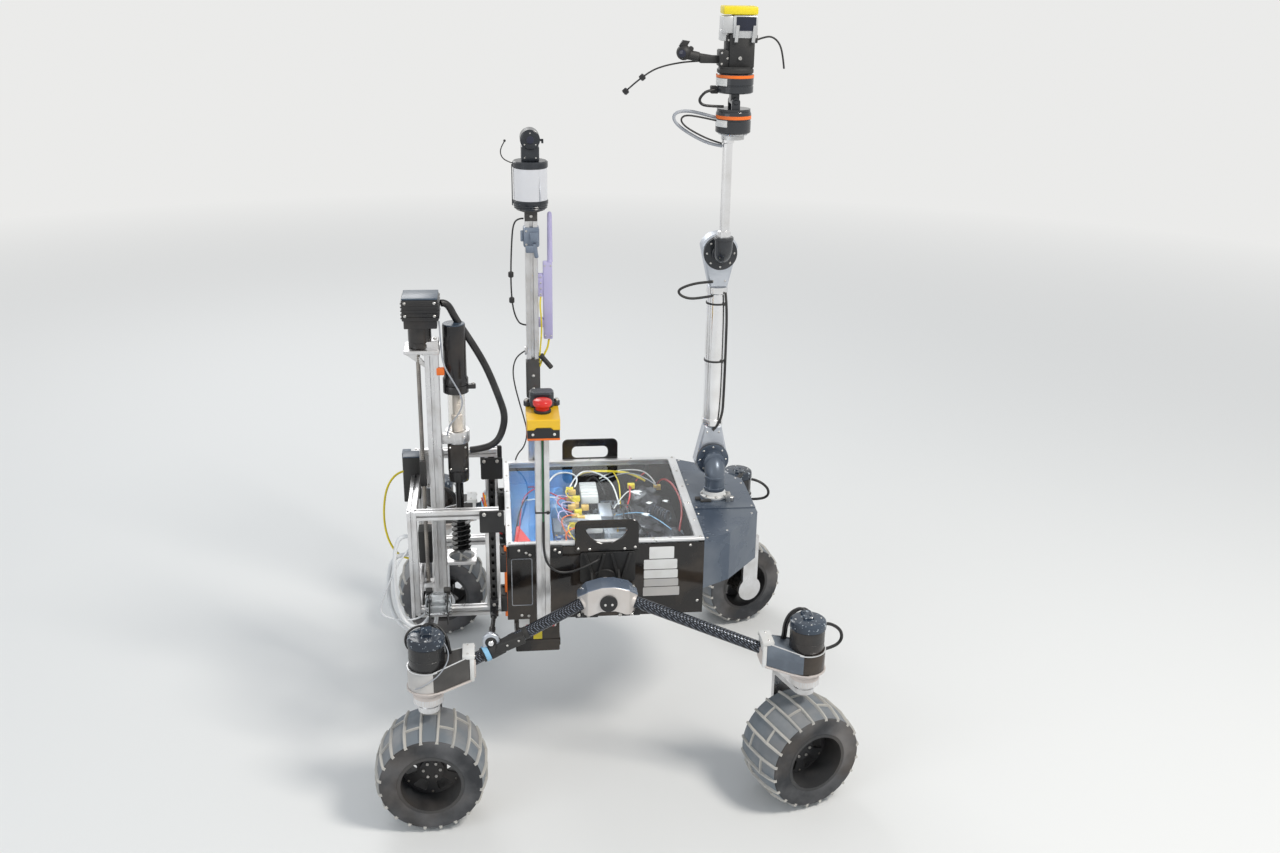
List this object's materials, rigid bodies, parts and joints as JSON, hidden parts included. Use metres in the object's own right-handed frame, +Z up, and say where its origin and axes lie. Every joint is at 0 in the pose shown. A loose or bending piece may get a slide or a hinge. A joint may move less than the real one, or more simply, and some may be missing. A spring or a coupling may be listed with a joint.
{
  "type": "planetary rover prototype",
  "caption": "Rocker rover on steered wheels with a clear-lidded electronics body, a drill frame behind, a sensor mast and an arm on the front deck.",
  "frame": {"origin": "on the ground, midway between the wheels", "axes": "+X forwards to the arm end, +Y to the rover's left, +Z up"},
  "size_m": [1.0531, 1.0474, 1.662],
  "materials": {
    "tread": "printed flexible tread, dusty",
    "wheel_black": "printed, satin",
    "aluminium": "anodised satin",
    "motor_black": "semi gloss",
    "carbon": "twill weave under lacquer",
    "bare_metal": "machined",
    "printed_grey": "layered print",
    "printed_dark": "layered print",
    "body_black": "gloss sheet",
    "clear_sheet": "clear sheet",
    "lid_silver": "satin",
    "deck_grey": "satin sheet",
    "electronics": "boards and cases",
    "stop_red": "gloss",
    "sensor_black": "satin",
    "sensor_window": "mirrored band",
    "radio_lilac": "printed",
    "screw_steel": "oiled",
    "auger_black": "gloss",
    "stop_yellow": "gloss",
    "cable_rubber": "satin",
    "arm_grey": "gloss",
    "tool_silver": "satin"
  },
  "bodies": {
    "chassis": {"rocker_tubes": "carbon", "pivot_brackets": "bare_metal", "steering_holders": "printed_grey", "steering_motors": "motor_black", "tube_joints": "printed_dark", "body_shell": "body_black", "lid_window": "clear_sheet", "lid_frame": "lid_silver", "front_deck": "deck_grey", "carry_handles": "body_black", "electronics": "electronics", "battery_box": "body_black", "estop_post": "aluminium", "mast_profile": "aluminium", "estop_box": "stop_yellow", "estop_button": "stop_red", "mast_clamps": "printed_dark", "lidar_body": "sensor_black", "lidar_window": "sensor_window", "mast_camera": "printed_dark", "radio": "radio_lilac", "drill_frame": "aluminium", "corner_plates": "body_black", "lift_plate": "aluminium", "arm_base": "bare_metal", "cables": "cable_rubber"},
    "drill_carriage": {"drill_column": "aluminium", "lead_screw": "screw_steel", "column_plates": "aluminium", "auger_guide": "aluminium", "lift_motor": "motor_black"},
    "drill_slide": {"drill_motor": "motor_black", "drill_tube": "clear_sheet", "drill_gearbox": "motor_black"},
    "auger_shaft": {"auger": "auger_black"},
    "turret": {"arm_turret": "arm_grey"},
    "upper_arm": {"upper_arm_tube": "aluminium", "arm_housings": "aluminium"},
    "forearm": {"forearm_drive": "arm_grey", "forearm_tube": "aluminium", "wrist_drive": "arm_grey"},
    "wrist": {"wrist_fork": "arm_grey"},
    "tool_tilt": {"tool_drive": "arm_grey"},
    "tool_head": {"tool_body": "tool_silver"},
    "steering_front_right": {"steering_leg_front_right": "aluminium", "hub_motor_front_right": "motor_black"},
    "rolling_front_right": {"tyre_front_right": "tread", "wheel_front_right": "wheel_black"},
    "steering_front_left": {"steering_leg_front_left": "aluminium", "hub_motor_front_left": "motor_black"},
    "rolling_front_left": {"tyre_front_left": "tread", "wheel_front_left": "wheel_black"},
    "steering_rear_right": {"steering_leg_rear_right": "aluminium", "hub_motor_rear_right": "motor_black"},
    "rolling_rear_right": {"tyre_rear_right": "tread", "wheel_rear_right": "wheel_black"},
    "steering_rear_left": {"steering_leg_rear_left": "aluminium", "hub_motor_rear_left": "motor_black"},
    "rolling_rear_left": {"tyre_rear_left": "tread", "wheel_rear_left": "wheel_black"}
  },
  "joints": [
    {"name": "steer_front_right", "type": "hinge", "parent": "chassis", "child": "steering_front_right", "pos_m": [0.403, -0.42, 0.3], "axis": [0, 0, 1], "range_deg": [-110, 70]},
    {"name": "spin_front_right", "type": "hinge", "parent": "steering_front_right", "child": "rolling_front_right", "pos_m": [0.403, -0.42, 0.11889], "axis": [-0.342, 0.9397, 0], "continuous": true},
    {"name": "steer_front_left", "type": "hinge", "parent": "chassis", "child": "steering_front_left", "pos_m": [0.403, 0.42, 0.3], "axis": [0, 0, 1], "range_deg": [-110, 70]},
    {"name": "spin_front_left", "type": "hinge", "parent": "steering_front_left", "child": "rolling_front_left", "pos_m": [0.403, 0.42, 0.11889], "axis": [-0.342, 0.9397, 0], "continuous": true},
    {"name": "steer_rear_right", "type": "hinge", "parent": "chassis", "child": "steering_rear_right", "pos_m": [-0.403, -0.42, 0.3], "axis": [0, 0, 1], "range_deg": [-90, 90]},
    {"name": "spin_rear_right", "type": "hinge", "parent": "steering_rear_right", "child": "rolling_rear_right", "pos_m": [-0.403, -0.42, 0.11889], "axis": [0, 1, 0], "continuous": true},
    {"name": "steer_rear_left", "type": "hinge", "parent": "chassis", "child": "steering_rear_left", "pos_m": [-0.403, 0.42, 0.3], "axis": [0, 0, 1], "range_deg": [-90, 90]},
    {"name": "spin_rear_left", "type": "hinge", "parent": "steering_rear_left", "child": "rolling_rear_left", "pos_m": [-0.403, 0.42, 0.11889], "axis": [0, 1, 0], "continuous": true},
    {"name": "drill_lift", "type": "slide", "parent": "chassis", "child": "drill_carriage", "axis": [0, 0, -1], "range_m": [0, 0.21]},
    {"name": "drill_feed", "type": "slide", "parent": "drill_carriage", "child": "drill_slide", "axis": [0, 0, -1], "range_m": [0, 0.27]},
    {"name": "auger_spin", "type": "hinge", "parent": "drill_slide", "child": "auger_shaft", "pos_m": [-0.334, -0.058, 0.5], "axis": [0, 0, 1], "continuous": true},
    {"name": "arm_yaw", "type": "hinge", "parent": "chassis", "child": "turret", "pos_m": [0.264, 0, 0.566], "axis": [0, 0, 1], "range_deg": [-90, 90]},
    {"name": "arm_shoulder", "type": "hinge", "parent": "turret", "child": "upper_arm", "pos_m": [0.264, 0.065, 0.628], "axis": [0, 1, 0], "range_deg": [-50, 95]},
    {"name": "arm_elbow", "type": "hinge", "parent": "upper_arm", "child": "forearm", "pos_m": [0.264, 0.03, 1.128], "axis": [0, -1, 0], "range_deg": [-110, 110]},
    {"name": "wrist_roll", "type": "hinge", "parent": "forearm", "child": "wrist", "pos_m": [0.274, 0, 1.446], "axis": [0, 0, 1], "range_deg": [-175, 175]},
    {"name": "wrist_tilt", "type": "hinge", "parent": "wrist", "child": "tool_tilt", "pos_m": [0.274, 0, 1.466], "axis": [0, 1, 0], "range_deg": [-40, 40]},
    {"name": "tool_roll", "type": "hinge", "parent": "tool_tilt", "child": "tool_head", "pos_m": [0.274, 0, 1.53], "axis": [0, 0, 1], "range_deg": [-175, 175]}
  ]
}
